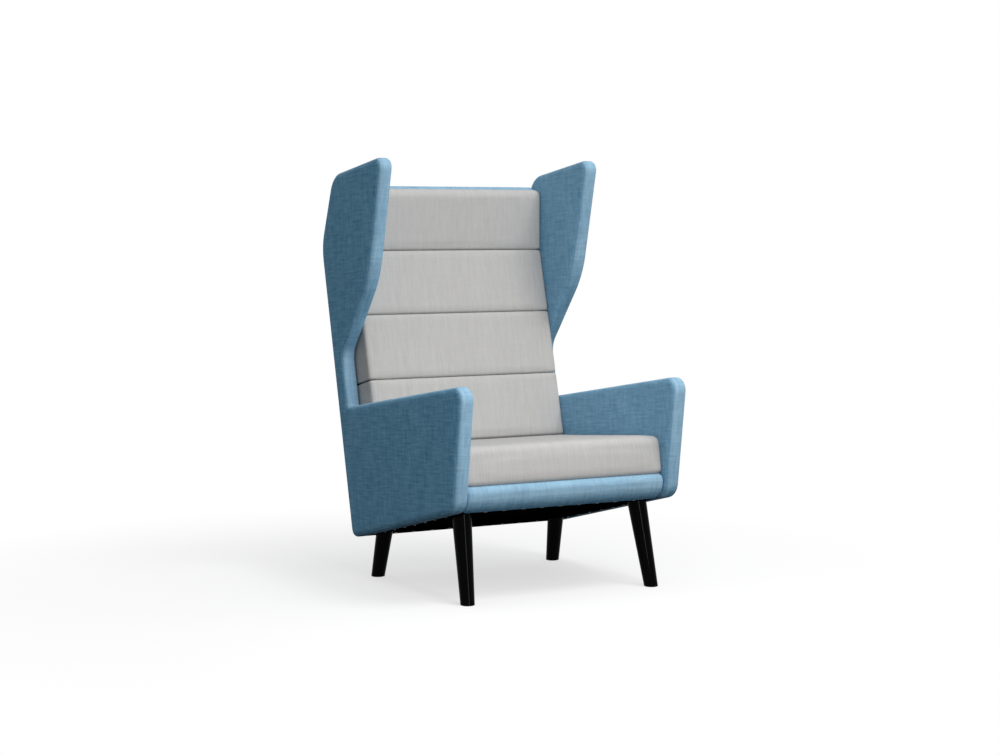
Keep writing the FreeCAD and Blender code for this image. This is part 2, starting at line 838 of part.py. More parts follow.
def nut(side, point):
    """Hexagon nut on the inner face of the seat rail."""
    near = side * (box_half - side_rail_thickness)
    corner = nut_width / math.sqrt(3)
    ring = [(point[0] + corner * math.cos(math.radians(60 * i)),
             point[1] + corner * math.sin(math.radians(60 * i)), 0) for i in range(6)]
    return prism(ring, near, near - side * nut_height)


def wall_bolts():
    rail_depth = side_thickness + fit + side_rail_thickness
    seat, nuts, back = {}, {}, {}
    for side in (-1, 1):
        seat[side] = [cross_bolt(side, point, rail_depth + nut_height, seat_bolt_diameter)
                      for point in seat_bolt_points()]
        nuts[side] = [nut(side, point).cut(bolt)
                      for point, bolt in zip(seat_bolt_points(), seat[side])]
        back[side] = [cross_bolt(side, point, side_thickness + fit + back_bolt_grip,
                                 back_bolt_diameter) for point in back_bolt_points()]
    return seat, nuts, back


# The whole chair

nodes = {}
for name, side in (("left", -1), ("right", 1)):
    for layer, shape in side_wall(side).items():
        nodes[f"{name}_side_{layer}"] = shape
nodes.update(back_panel())
nodes.update(front_rail())
box = seat_box()
leg_pieces, leg_space = leg_sets()
nodes.update({name: shape.cut(leg_space) for name, shape in box.items()})
nodes["seat_deck_pad"] = deck_pad()
nodes.update(springs())
nodes.update(seat_cushion())
nodes.update(back_cushion())
nodes.update(leg_pieces)
nodes["dust_cover"] = dust_cover()
nodes["dust_cover_staples"] = dust_cover_staples()

seat_bolts, seat_nuts, back_bolts = wall_bolts()
for name, side in (("left", -1), ("right", 1)):
    both = Part.makeCompound(seat_bolts[side] + back_bolts[side])
    for layer in ("board", "inner_foam", "cover"):
        nodes[f"{name}_side_{layer}"] = nodes[f"{name}_side_{layer}"].cut(both)
    rail = f"{name}_seat_rail"
    nodes[rail] = nodes[rail].cut(both)
    nodes["back_board"] = nodes["back_board"].cut(both)
for name, group in (("seat_bolts", seat_bolts), ("seat_nuts", seat_nuts), ("back_bolts", back_bolts)):
    nodes[name] = Part.makeCompound(group[-1] + group[1])

# The origin is on the floor, under the middle of the chair's box
outline = nodes["left_side_cover"].BoundBox
to_origin = FreeCAD.Vector(0, -(outline.YMin + outline.YMax) / 2, 0)

for name, shape in nodes.items():
    solids = [solid.translated(to_origin) for solid in shape.Solids]
    piece = solids[0] if len(solids) == 1 else Part.makeCompound(solids)
    piece.exportStep(f"parts/{name}.step")
    print(name, len(solids), piece.isValid(), round(piece.Volume / 1e3, 1))
print(len(nodes), "nodes, origin moved by", round(to_origin.y, 3), "mm along y")
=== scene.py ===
# %% [markdown]
# # Acoustic high back lounge chair
#
# Two padded side walls, each arm and head wing in one, hold a padded back and a sprung seat box.
# Two loose cushions in pale grey cloth lie inside, and four turned black legs carry it all. The
# frame, bolts, springs and legs come from the CAD model, which is loaded first and never moved.
# This lesson makes what a hand would touch: the upholstery, the cushions, the cloths and the finish
# of every piece.

# %% Load the frame
import math
from collections import namedtuple

import bmesh
import bpy
import numpy as np
from mathutils import Matrix, Vector
from mathutils.geometry import delaunay_2d_cdt


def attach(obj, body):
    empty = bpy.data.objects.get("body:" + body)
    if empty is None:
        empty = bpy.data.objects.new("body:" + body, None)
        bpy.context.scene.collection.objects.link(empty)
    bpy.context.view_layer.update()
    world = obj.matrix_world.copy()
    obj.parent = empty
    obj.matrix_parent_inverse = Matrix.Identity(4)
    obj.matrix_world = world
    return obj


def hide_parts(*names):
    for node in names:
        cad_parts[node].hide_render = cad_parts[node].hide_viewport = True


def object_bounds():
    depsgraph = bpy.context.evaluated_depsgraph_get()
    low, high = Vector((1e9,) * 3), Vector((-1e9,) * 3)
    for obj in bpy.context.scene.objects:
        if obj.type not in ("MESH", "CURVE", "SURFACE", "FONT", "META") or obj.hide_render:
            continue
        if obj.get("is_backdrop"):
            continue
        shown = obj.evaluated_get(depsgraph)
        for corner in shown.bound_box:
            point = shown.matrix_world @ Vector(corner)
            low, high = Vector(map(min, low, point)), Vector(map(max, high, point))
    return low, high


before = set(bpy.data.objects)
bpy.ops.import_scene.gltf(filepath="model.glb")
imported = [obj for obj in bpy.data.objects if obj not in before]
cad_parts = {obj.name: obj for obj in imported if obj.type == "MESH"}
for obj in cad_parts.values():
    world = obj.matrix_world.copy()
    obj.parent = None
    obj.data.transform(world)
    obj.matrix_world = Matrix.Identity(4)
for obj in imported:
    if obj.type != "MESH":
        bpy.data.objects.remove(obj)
cad_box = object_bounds()
scene = bpy.context.scene


def short(values, digits=3):
    """The values with few digits, to be printed."""
    return [round(value, digits) for value in values]


print("CAD nodes:", len(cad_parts), "box:", short((*cad_box[0], *cad_box[1]), 4))

# %% [markdown]
# ## The view
#
# The picture was taken from the front left, a little above the arms, with a long lens. A camera
# could be moved by eye until the chair looks right. Its place, turn and tilt come from a fit to the
# chair's parallel edges instead, because that fit also gives the chair's proportions.

# %% Camera
picture_width = 1000
focal_pixels = 2111.3
camera_place = (-3.2623, -5.6636, 1.1151)
camera_turn = math.radians(-29.974)
camera_tilt = math.radians(-4.282)

lens = bpy.data.cameras.new("camera")
lens.lens = focal_pixels * lens.sensor_width / picture_width
camera = bpy.data.objects.new("camera", lens)
camera.location = camera_place
camera.rotation_euler = (math.pi / 2 + camera_tilt, 0, camera_turn)
scene.collection.objects.link(camera)
scene.camera = camera
print("lens:", round(lens.lens, 2), "mm")

# %% [markdown]
# ## Lines in the side view
#
# Every padded piece has its shape in the side view and runs straight across, as the board inside it
# does. A curve drawn by hand would have to be drawn again for each layer of foam and cloth. A line
# here is a point (y, z) and a heading in degrees, with the material on its left. Lines that are
# moved inward and met again give every layer from one set of sizes.

# %% Line helpers


def inset(line, depth):
    """The line moved into the material by a depth."""
    y, z, heading = line
    turn = math.radians(heading)
    return (y - depth * math.sin(turn), z + depth * math.cos(turn), heading)


def meet(one, two):
    """The point where two lines cross."""
    y1, z1, a1 = one
    y2, z2, a2 = two
    c1, s1 = math.cos(math.radians(a1)), math.sin(math.radians(a1))
    c2, s2 = math.cos(math.radians(a2)), math.sin(math.radians(a2))
    along = ((y2 - y1) * s2 - (z2 - z1) * c2) / (c1 * s2 - s1 * c2)
    return (y1 + along * c1, z1 + along * s1)


def flipped(line):
    """The same line with its material on the other side."""
    return (line[0], line[1], line[2] + 180)


def straight(a, b, count):
    """Points from a to b, with both ends."""
    return [(a[0] + (b[0] - a[0]) * k / count, a[1] + (b[1] - a[1]) * k / count)
            for k in range(count + 1)]


def bend(one, two, radius, turn):
    """A walk from nought to one round the arc between two lines, and the arc's length."""
    heading, turn = math.radians(one[2]), math.radians(turn)
    hand = math.copysign(1, turn)
    reach = radius * math.tan(abs(turn) / 2)
    y, z = meet(one, two)
    y -= reach * math.cos(heading) + hand * radius * math.sin(heading)
    z -= reach * math.sin(heading) - hand * radius * math.cos(heading)

    def walk(share):
        angle = heading + turn * share
        return (y + hand * radius * math.sin(angle), z - hand * radius * math.cos(angle))
    return walk, radius * abs(turn)


# %% [markdown]
# The shell leans back by one angle, and the back, the sections of its cushion and the side walls
# all follow it. Sizes are in metres, as the CAD model has them.

# %% Shell sizes
shell_tilt = 13.3
rear_corner = (0.247661, 0.122)
overall_height = 1.3
half_width = 0.39
side_thickness = 0.048
kink_height = 1.028
head_lean = 20.7
head_inset = 0.001
top_slope = 8.9
wing_depth = 0.362
wing_lean = 13.2
wing_tip_radius = 0.028
neck_depth = 0.070
cheek_height = 0.698
cheek_slope = 38.7
arm_reach = 0.714
arm_height = 0.646
arm_slope = 8.9
arm_front_lean = 7.4
deck_slope = 4.9


def shell_point(forward, up):
    """A point by its distance forward along the underside and up along the back."""
    y = rear_corner[0] - forward * math.cos(tilt) + up * math.sin(tilt)
    z = rear_corner[1] + forward * math.sin(tilt) + up * math.cos(tilt)
    return (y, z)


tilt = math.radians(shell_tilt)
bottom_line = (*rear_corner, -shell_tilt)
rear_line = (*rear_corner, 90 - shell_tilt)
kink_y = rear_corner[0] + (kink_height - rear_corner[1]) * math.tan(tilt)
head_line = (kink_y, kink_height, 90 + head_lean)
wing_line = (kink_y - wing_depth, kink_height, wing_lean - 90)
neck_line = inset((*rear_corner, -90 - shell_tilt), -neck_depth)
cheek_line = (*meet(neck_line, (0.0, cheek_height, 0.0)), cheek_slope - 90)
arm_tip = (rear_corner[0] - arm_reach, arm_height)
arm_line = (*arm_tip, 180 - arm_slope)
arm_front_line = (*arm_tip, arm_front_lean - 90)
tip_centre = meet(inset(wing_line, wing_tip_radius), (0.0, overall_height - wing_tip_radius, 0.0))
top_line = inset((*tip_centre, 180 - top_slope), -wing_tip_radius)
print("arm tip:", short(arm_tip), "kink:", round(kink_y, 3))

# %% [markdown]
# ## Outlines of straight runs and arcs
#
# A padded edge could be a bevel on a block, but a bevel knows nothing of a seam. Here it is a stack
# of outlines, each a little further in than the last. To join up into clean squares they need the
# same number of points, so this class counts them once, on the outermost outline.

# %% Outline
least_radius = 0.0004


class Outline:
    """Straight runs joined by arcs in the side view; line i turns into line i + 1 at corner i."""

    def __init__(self, lines, radii, step, shares=None):
        self.lines, self.radii, self.shares = lines, radii, shares or [1.0] * len(lines)
        self.turns = [(b[2] - a[2] + 540) % 360 - 180 for a, b in zip(lines, lines[1:] + lines[:1])]
        self.counts, headings, owners = [], [], []
        for i, turn in enumerate(self.turns):
            j = (i + 1) % len(lines)
            walk, length = self.corner(i, 0.0)
            arc = max(3, math.ceil(length / step))
            run = max(2, round(math.dist(walk(1.0), self.corner(j, 0.0)[0](0.0)) / step))
            self.counts.append((arc, run))
            headings += [lines[i][2] + turn * k / arc for k in range(arc + 1)]
            headings += [lines[j][2]] * (run - 1)
            owners += [i + 0.5] * (arc + 1) + [j] * (run - 1)
        headings = np.radians(headings)
        self.outward = np.stack([np.sin(headings), -np.cos(headings)], axis=1)
        self.owners = owners
        points = self.points(0.0)
        gaps = np.linalg.norm(np.roll(points, -1, axis=0) - points, axis=1)
        self.run = np.concatenate([[0.0], np.cumsum(gaps)])

    def corner(self, i, depth):
        """The bend at a corner, at a depth of which each line takes its share."""
        j = (i + 1) % len(self.lines)
        one = inset(self.lines[i], depth * self.shares[i])
        two = inset(self.lines[j], depth * self.shares[j])
        tighter = math.copysign(depth, self.turns[i]) * min(self.shares[i], self.shares[j])
        return bend(one, two, max(self.radii[i] - tighter, least_radius), self.turns[i])

    def points(self, depth):
        """All points (y, z) of the outline at a depth."""
        walks = [self.corner(i, depth)[0] for i in range(len(self.lines))]
        rows = []
        for walk, follow, (arc, run) in zip(walks, walks[1:] + walks[:1], self.counts):
            rows += [walk(k / arc) for k in range(arc + 1)]
            rows += straight(rows[-1], follow(0.0), run)[1:-1]
        return np.array(rows)


# %% Outline of a side wall
wall_step = 0.007
wall_radii = {"lower rear": 0.025, "kink": 0.160, "head": 0.080, "wing tip": wing_tip_radius,
              "wing": 0.300, "cheek": 0.068, "neck": 0.012, "arm tip": 0.038, "arm foot": 0.052}
arm_and_wing = Outline(
    [bottom_line, rear_line, inset(head_line, -head_inset), top_line, wing_line, cheek_line,
     neck_line, arm_line, arm_front_line], [*wall_radii.values()], wall_step)
print("side wall:", len(arm_and_wing.outward), "points,", round(arm_and_wing.run[-1], 2), "m round")

# %% [markdown]
# ## From an outline to a padded piece
#
# A padded piece has two end faces, a band that joins them, and a soft rim where they meet, with a
# seam a little towards the face. Rings of points are laid from one face over its rim, along the
# band and down to the other face. They crowd together at the seams, so that the cloth can dip
# there: even squares all over would need many times the points.

# %% Rings over a rim
seam_angle = math.radians(28)
ring_growth = 1.45
Ring = namedtuple("Ring", "depth x out_depth out_x off_seam")


def ring_places(length, near, far):
    """Distances from the seam, close together near it and at most far apart further on."""
    places, gap = [0.0], near
    while places[-1] + gap < length - gap / 2:
        places.append(places[-1] + gap)
        gap = min(gap * ring_growth, far)
    return places + [length]


def rim_rings(half, rim, reach, near=0.0005, far=0.007):
    """Rings over a rim, with their way outward; off_seam is above nought on the band."""
    def at(off_seam):
        into_band = off_seam + rim * seam_angle
        if into_band < 0:
            return Ring(rim - into_band, -half, 0.0, -1.0, off_seam)
        angle = into_band / rim
        if angle < math.pi / 2:
            return Ring(rim * (1 - math.sin(angle)), rim * (1 - math.cos(angle)) - half,
                        math.sin(angle), -math.cos(angle), off_seam)
        return Ring(0.0, rim - half + into_band - rim * math.pi / 2, 1.0, 0.0, off_seam)

    face = rim * seam_angle + reach - rim
    band = rim * (math.pi / 2 - seam_angle) + half - rim
    left = [at(-place) for place in reversed(ring_places(face, near, far))]
    left += [at(place) for place in ring_places(band, near, far)[1:]]
    return left + [ring._replace(x=-ring.x, out_x=-ring.out_x) for ring in reversed(left[:-1])]


wall_rim, wall_reach = 0.014, 0.034
wall_rings = rim_rings(side_thickness / 2, wall_rim, wall_reach)
print("rings of a side wall:", len(wall_rings))

# %% [markdown]
# Each corner of the mesh keeps where it lies on the flat cloth, because a weave follows the cut of
# the cloth and not the chair's shape. It also keeps its distance from the seam and how much painted
# light lies on the cloth there. The edges that face forward or up are painted paler, where the
# lamps fall on them, partly also as edge wear. The inner sides are painted a little paler all over,
# for light that bounces off the cushions. A painted picture could hold the same, but would be one
# more file.

# %% Painted light and cloth places
edge_light_start = 0.001
edge_light_reach = 0.006
inner_bounce_light_share = 0.3
panel_shift = 0.37


def add_corners(mesh, name, values):
    """Keeps a value with three parts for every corner of a mesh."""
    layer = mesh.attributes.new(name, "FLOAT_VECTOR", "CORNER")
    layer.data.foreach_set("vector", np.asarray(values, np.float32).ravel())


def lit_and_worn_share(outward):
    """Painted light on an edge by the way that it faces, partly also wear: little from below, none
    behind.
    """
    return (np.clip(1.3 + 1.5 * outward[:, 1], 0.0, 1.0)
            * np.clip(0.8 - 0.8 * outward[:, 0], 0.0, 1.0))


def linked(name, points, faces):
    """A smooth object made of these faces, in the scene."""
    mesh = bpy.data.meshes.new(name)
    mesh.from_pydata(points, [], faces)
    mesh.shade_smooth()
    piece = bpy.data.objects.new(name, mesh)
    scene.collection.objects.link(piece)
    return piece


# %% Padded mesh
def padded_piece(name, outline, rings, swell=None, edge_light_share=0.0, rubbed_side=0, laid=0.0):
    """A closed mesh from an outline, with its cloth places and what its seams do to the cloth."""
    count, total = len(outline.outward), len(rings)
    points = np.zeros((total, count, 3))
    for k, ring in enumerate(rings):
        lift = swell(ring.off_seam) if swell else 0.0
        points[k, :, 0] = ring.x + lift * ring.out_x
        points[k, :, 1:] = outline.points(ring.depth) + outline.outward * (lift * ring.out_depth)
    # painted light: the band beyond each seam is made paler, more where it faces forward or up, and
    # the inner side a little paler all over
    painted_edge_light = [edge_light_share * min(max(ring.off_seam + edge_light_start, 0.0) / edge_light_reach, 1.0) for ring in rings]
    inner_bounce_light = [inner_bounce_light_share * (ring.x * rubbed_side > 0) for ring in rings]
    lit_and_worn = lit_and_worn_share(outline.outward)
    lay_y, lay_z = math.cos(math.radians(laid)), math.sin(math.radians(laid))
    faces, corners, seams = [], [], []

    def add_face(places, panel):
        """A face from (ring, column) places; the column after the last one is the first again."""
        faces.append([k * count + column % count for k, column in places])
        for k, column in places:
            j, run = column % count, outline.run[column]
            x, y, z = points[k, j]
            flat = (run, x) if panel == 1 else (y * lay_y - z * lay_z, z * lay_y + y * lay_z)
            corners.append((*flat, panel * panel_shift))
            # third part: the share of painted light, paler cloth where the edges face the lamps
            seams.append((abs(rings[k].off_seam), run, max(painted_edge_light[k] * lit_and_worn[j], inner_bounce_light[k])))

    for k in range(total - 1):
        on_band = rings[k].off_seam + rings[k + 1].off_seam > 0
        panel = 1 if on_band else 0 if k < total // 2 else 2
        for j in range(count):
            add_face([(k, j), (k, j + 1), (k + 1, j + 1), (k + 1, j)], panel)
    add_face([(0, j) for j in reversed(range(count))], 0)
    add_face([(total - 1, j) for j in range(count)], 2)
    piece = linked(name, points.reshape(-1, 3).tolist(), faces)
    add_corners(piece.data, "cloth", corners)
    add_corners(piece.data, "seam", seams)
    fill = bmesh.new()
    fill.from_mesh(piece.data)
    bmesh.ops.triangulate(fill, faces=[face for face in fill.faces if len(face.verts) > 4])
    fill.to_mesh(piece.data)
    fill.free()
    return piece


def upholstered(piece, slot, fill, *nodes):
    """Attaches a padded piece to the root and hides the CAD nodes that it stands for; slot and fill
    are not used.
    """
    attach(piece, "root")
    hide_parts(*nodes)
    return piece


# %% [markdown]
# ## Side walls
#
# Each wall is a board between two layers of foam, covered in blue wool: two faces, cut to the slope
# of the seat, and a band, sewn along both rims. The seam pulls the cloth down, which makes the edge
# look sewn and not moulded. A cloth simulation would find that too, but a formula holds the wall
# to its outline, which is what one sees first.

# %% Side walls
wall_dips = ((0.0005, 0.0045), (0.0003, 0.0009))
wall_rise = 0.0011
face_rise_width, band_rise_width = 0.018, 0.008


def dips(off_seam, depths):
    """Valleys along a seam, each with its depth and its width."""
    return sum(depth * math.exp(-(off_seam / width) ** 2) for depth, width in depths)


def wall_swell(off_seam):
    """How far the cloth lies out from the plain form: down at the seam, full away from it."""
    width = face_rise_width if off_seam < 0 else band_rise_width
    return wall_rise * (1 - math.exp(-(off_seam / width) ** 2)) - dips(off_seam, wall_dips)


def side_wall(name, side):
    """The wall on one side, made about its own middle and then moved there."""
    piece = padded_piece(f"{name}_side_upholstery", arm_and_wing, wall_rings, wall_swell,
                         # painted light: paler cloth on the band beyond each seam, and a little on
                         # the inner side for bounce light
                         edge_light_share=0.8, rubbed_side=-side, laid=deck_slope)
    piece.data.transform(Matrix.Translation((side * (half_width - side_thickness / 2), 0, 0)))
    return upholstered(piece, "blue_fabric", 0.9, f"{name}_side_cover",
                       f"{name}_side_outer_foam", f"{name}_side_inner_foam")


blue_pieces = [side_wall("left", -1), side_wall("right", 1)]
print("side wall:", len(blue_pieces[0].data.vertices), "points")

# %% [markdown]
# ## Back and front rail
#
# The back is one bent board, padded on both sides and covered in the same blue cloth. It is seen
# from behind, and as a thin line above the head cushion. The front rail is foam on the front beam,
# with the cloth pulled over its rounded lower edge. Both are made as the walls are, so that their
# seams match, but lie between them, so their ends have only a small rim that tucks in there.

# %% Back and front rail
side_clearance = 0.0003
inner_half = half_width - side_thickness
back_recess = 0.004
back_front = back_recess + 0.036
back_top_drop = 0.029
kink_radius = 0.110
dust_cover_thickness = 0.0012
rail_setback = 0.010
rail_padding = 0.030
deck_front_height = 0.3505
back_radii = {"hem": 0.003, "top": 0.009}
rail_radii = {"top": 0.022, "front": 0.054, "rear": 0.002}
back_step, rail_step = 0.008, 0.004
tuck_dips = ((0.0009, 0.004),)
tuck_depth, tuck_width = 0.0004, 0.05


def dropped(point, drop):
    """A point that goes down along the leaning head."""
    lean = math.radians(head_lean)
    return (point[0] + drop * math.sin(lean), point[1] - drop * math.cos(lean))


under_line = inset(bottom_line, dust_cover_thickness)
back_end_line = (*dropped(meet(head_line, top_line), back_top_drop), 180 + head_lean)
rail_line = inset(arm_front_line, rail_setback)
deck_front = meet(rail_line, (0.0, deck_front_height, 0.0))
deck_line = (*deck_front, -deck_slope)
beam_front_line = inset(rail_line, rail_padding)


def tucked_swell(off_seam):
    """Cloth of a piece between the walls: drawn in over its rims, a little full between them."""
    return -dips(off_seam, tuck_dips) - tuck_depth * math.exp(-(max(off_seam, 0) / tuck_width) ** 2)


def between_walls(name, outline, rim, reach, edge_light_share, *nodes):
    """A blue piece whose rim and the reach of its end faces depend on how thick it is."""
    rings = rim_rings(inner_half - side_clearance, rim, reach, near=0.0008, far=0.010)
    return upholstered(padded_piece(name, outline, rings, tucked_swell, edge_light_share), "blue_fabric",
                       0.9, *nodes)


back_outline = Outline(
    [under_line, inset(rear_line, back_recess), inset(head_line, back_recess), back_end_line,
     flipped(inset(head_line, back_front)), flipped(inset(rear_line, back_front))],
    [back_radii["hem"], kink_radius - back_recess, back_radii["top"], back_radii["top"],
     kink_radius - back_front, back_radii["hem"]], back_step)
rail_outline = Outline(
    [flipped(deck_line), rail_line, bottom_line, flipped(beam_front_line)],
    [*rail_radii.values(), rail_radii["rear"]], rail_step)
# painted light: paler cloth on the bands of the back (0.8) and of the front rail (0.9)
blue_pieces += [
    between_walls("back_upholstery", back_outline, 0.006, 0.013, 0.8, "back_cover",
                  "back_rear_foam", "back_front_foam"),
    between_walls("front_rail_upholstery", rail_outline, 0.014, 0.017, 0.9, "front_rail_cover",
                  "front_rail_foam")]
print("blue pieces:", [piece.name for piece in blue_pieces])

# %% [markdown]
# ## Cushions
#
# Both cushions are foam in loose covers. The back cushion's cover is sewn down to its backing in
# three channels, which part its foam into four sections. One mesh with three grooves could show
# that, but its cloth would stretch into each groove. So each section is a padded form of its own.
# The lowest one steps back behind the seat cushion, which leaves the groove between the two.

# %% Back cushion lines
cushion_half = inner_half - 0.0015
backing_thickness = 0.0015
back_start = back_front + backing_thickness
section_names = ("lumbar", "middle", "shoulder", "head")
section_length = 0.2065
channels = [0.474 + i * section_length for i in range(len(section_names) - 1)]
lumbar_depth, shoulder_depth = 0.153, 0.142
head_end_gap = 0.004
head_top_drop = 0.0005
low, high = channels[0] - section_length, channels[-1]


def face_point(up):
    """A point of the cushion's front, which comes a little nearer the back further up."""
    depth = lumbar_depth + (shoulder_depth - lumbar_depth) * (up - low) / (high - low)
    return shell_point(depth, up)


(y1, z1), (y0, z0) = face_point(high), face_point(low)
leaning_face = (y1, z1, math.degrees(math.atan2(z0 - z1, y0 - y1)))
upright_face = (y1, z1, -90.0)
panel_top = meet(inset(back_end_line, head_end_gap), inset(head_line, back_front))
cushion_top = (*dropped(panel_top, head_top_drop), 180 - top_slope)
section_ends = [flipped(inset(deck_line, side_clearance))]
section_ends += [(*shell_point(0.0, up), 180 - shell_tilt) for up in channels]
section_ends += [cushion_top]
print("channels at:", short(channels, 4))

# %% Cushion outlines
channel_gap = 0.0016
channel_radius, backing_radius, head_radius = 0.0075, 0.004, 0.020
channel_share, backing_share, free_share = 0.35, 0.3, 1.0
section_step = 0.009
seat_groove_height, seat_groove_depth = 0.117, 0.010
seat_setback = 0.024
seat_front_heading = -99.0
seat_thickness = 0.111
seat_rear_gap = 0.0065
seat_radii = (0.007, 0.012, 0.024, 0.012)
seat_step = 0.010


def section_outline(i):
    """One section; its rim takes less at the channels and the backing than in front."""
    head = i == len(section_names) - 1
    bottom = inset(flipped(section_ends[i]), channel_gap if i else 0.0)
    top = inset(section_ends[i + 1], 0.0 if head else channel_gap)
    lines = [bottom, inset(rear_line, back_start), top, upright_face if head else leaning_face]
    radii = [backing_radius] * 2 + [head_radius if head else channel_radius, channel_radius]
    shares = [channel_share, backing_share, free_share if head else channel_share, free_share]
    if i == 0:
        lines += [inset(deck_line, seat_groove_height), inset(leaning_face, seat_groove_depth)]
        radii += [0.001, 0.004]
        shares += [0.05, free_share]
    if head:
        lines.insert(2, inset(head_line, back_start))
        radii.insert(1, kink_radius - back_start)
        shares.insert(2, backing_share)
    return Outline(lines, radii, section_step, shares)


seat_foot = meet(deck_line, inset(arm_front_line, seat_setback))
seat_front_line = (*seat_foot, seat_front_heading)
seat_top_line = inset((*deck_line[:2], 180 - deck_slope), -seat_thickness)
seat_rear_line = inset(flipped(leaning_face), seat_rear_gap)
seat_outline = Outline(
    [inset(deck_line, side_clearance), seat_rear_line, seat_top_line, seat_front_line],
    seat_radii, seat_step, [0.35, 0.4, free_share, free_share])
print("seat front:", short(seat_foot))

# %% [markdown] ## Filling the cushions  A cloth simulation blows each cover up from inside, as
# foam that is a little too large does. The seams, the backing and the faces against the walls are
# pinned. The rest moves out until the cloth is tight, which gives a slow crown and drawn corners.
# It also says how far each point may go out, so that no cushion grows past its place.

# %% Fill a cushion
fill_frames = 20
least_fill = 0.6
hold_sharpness = 4
cloth_settings = {"quality": 5, "mass": 0.3, "tension_stiffness": 25, "compression_stiffness": 25,
                  "bending_stiffness": 1.5, "use_pressure": True, "uniform_pressure_force": 4.0}


def blown_up(piece, free):
    """Where the points go when the cover is blown up and all but the free ones are held."""
    group = piece.vertex_groups.new(name="held")
    for i, value in enumerate(free):
        group.add([i], float(1 - min(value * hold_sharpness, 1.0)), "REPLACE")
    sim = piece.modifiers.new("fill", "CLOTH")
    for name, value in cloth_settings.items():
        setattr(sim.settings, name, value)
    sim.settings.vertex_group_mass = "held"
    sim.settings.effector_weights.gravity = 0.0
    sim.point_cache.frame_start = 1
    sim.point_cache.frame_end = fill_frames
    for frame_number in range(1, fill_frames + 1):
        scene.frame_set(frame_number)
    shape = piece.evaluated_get(bpy.context.evaluated_depsgraph_get()).data
    blown = np.array([v.co for v in shape.vertices])
    piece.modifiers.remove(sim)
    piece.vertex_groups.remove(group)
    scene.frame_set(1)
    return blown


def filled(piece, free, crown):
    """Moves the free points outward, by simulation but at most by the crown."""
    mesh = piece.data
    start = np.array([v.co for v in mesh.vertices])
    normals = np.array([v.normal for v in mesh.vertices])
    outward = free * crown
    way = ((blown_up(piece, free) - start) * normals).sum(axis=1)
    outward = np.clip(way, least_fill * outward, outward)
    moved = start + normals * outward[:, None]
    moved[:, 0] = np.clip(moved[:, 0], -cushion_half, cushion_half)
    mesh.vertices.foreach_set("co", moved.astype(np.float32).ravel())
    mesh.update()
    print(piece.name, "went out by up to", round(outward.max() * 1000, 1), "mm")


# %% Seat cushion and back sections
cushion_rim = 0.010
cushion_reach = 0.040
drawn_reach = 0.030
seat_crown, section_crown = 0.006, 0.005


def cushion(name, outline, free_lines, crown, *nodes):
    """A cushion's cover, filled along the lines of its outline that are free."""
    rings = rim_rings(cushion_half, cushion_rim, cushion_reach, near=0.004, far=0.010)
    piece = padded_piece(name, outline, rings)
    held = [j for j, owner in enumerate(outline.owners)
            if min(abs(owner - line) for line in free_lines) >= 1]
    gaps = np.abs(outline.run[:-1, None] - outline.run[held])
    around = np.minimum(gaps, outline.run[-1] - gaps).min(axis=1)
    across = np.array([max(ring.off_seam, 0.0) for ring in rings])
    share = (np.minimum(around / drawn_reach, 1.0)[None, :]
             * np.minimum(across / drawn_reach, 1.0)[:, None])
    filled(piece, np.sin(share * math.pi / 2).ravel(), crown)
    piece.modifiers.new("smooth", "SUBSURF").render_levels = 1
    return upholstered(piece, "grey_fabric", 0.85, *nodes)


cushions = [cushion("seat_cushion", seat_outline, (2, 3), seat_crown, "seat_cushion_cover",
                    "seat_cushion_foam")]
for i, name in enumerate(section_names):
    free_lines = (3, 4) if name == "head" else (3,)
    cushions.append(cushion(f"{name}_section", section_outline(i), free_lines, section_crown,
                            f"{name}_section_foam", "back_cushion_cover"))
print("cushions:", [piece.name for piece in cushions])

# %% [markdown]
# ## Felt and lining cloths
#
# The deck pad is a needled felt on the springs. Behind the back cushion and under the seat cushion
# the cover is of a thin lining cloth, which saves the good cloth where nobody sees it. A sheet can
# be draped by simulation, but these are sewn in tight all round, so each is a plain grid with a
# real thickness along the line that it is stretched on.

# %% Felt deck pad
rear_beam_line = inset(rear_line, back_front + side_clearance)
felt_thickness, felt_radius, felt_rim, felt_reach = 0.006, 0.0015, 0.002, 0.004
pad_outline = Outline([inset(deck_line, -felt_thickness), rear_beam_line, flipped(deck_line),
                       beam_front_line], [felt_radius] * 4, 0.012)
pad_rings = rim_rings(inner_half - side_clearance, felt_rim, felt_reach, near=0.002, far=0.012)
deck_pad = upholstered(padded_piece("deck_pad", pad_outline, pad_rings), "felt", 1.0,
                       "seat_deck_pad")
print("deck pad:", len(deck_pad.data.polygons), "faces")


# %% Sheets of lining cloth
def lining_sheet(name, points, faces, flat_places, thickness, node, **told):
    piece = linked(name, points, faces)
    add_corners(piece.data, "cloth", [flat_places[v] for face in faces for v in face])
    thick = piece.modifiers.new("thickness", "SOLIDIFY")
    thick.thickness = thickness
    thick.offset = 0.0
    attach(piece, "root")
    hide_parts(node)
    return piece


def stretched_cloth(name, profile, half, thickness, flat_width, rests_on, node):
    """A sheet that follows side view points and runs straight across."""
    columns = np.linspace(-half, half, 60)
    run = [0.0, *np.cumsum(np.linalg.norm(np.diff(profile, axis=0), axis=1))]
    wide = len(columns)
    points = [(x, y, z) for y, z in profile for x in columns]
    quads = [(i * wide + j, i * wide + j + 1, (i + 1) * wide + j + 1, (i + 1) * wide + j)
             for i in range(len(profile) - 1) for j in range(wide - 1)]
    print(name, "lies flat in", short((flat_width, run[-1])), "m")
    return lining_sheet(name, points, quads, [(along, x, 0.0) for along in run for x in columns],
                        thickness, node, flat=(flat_width, run[-1]), rests_on=[rests_on])


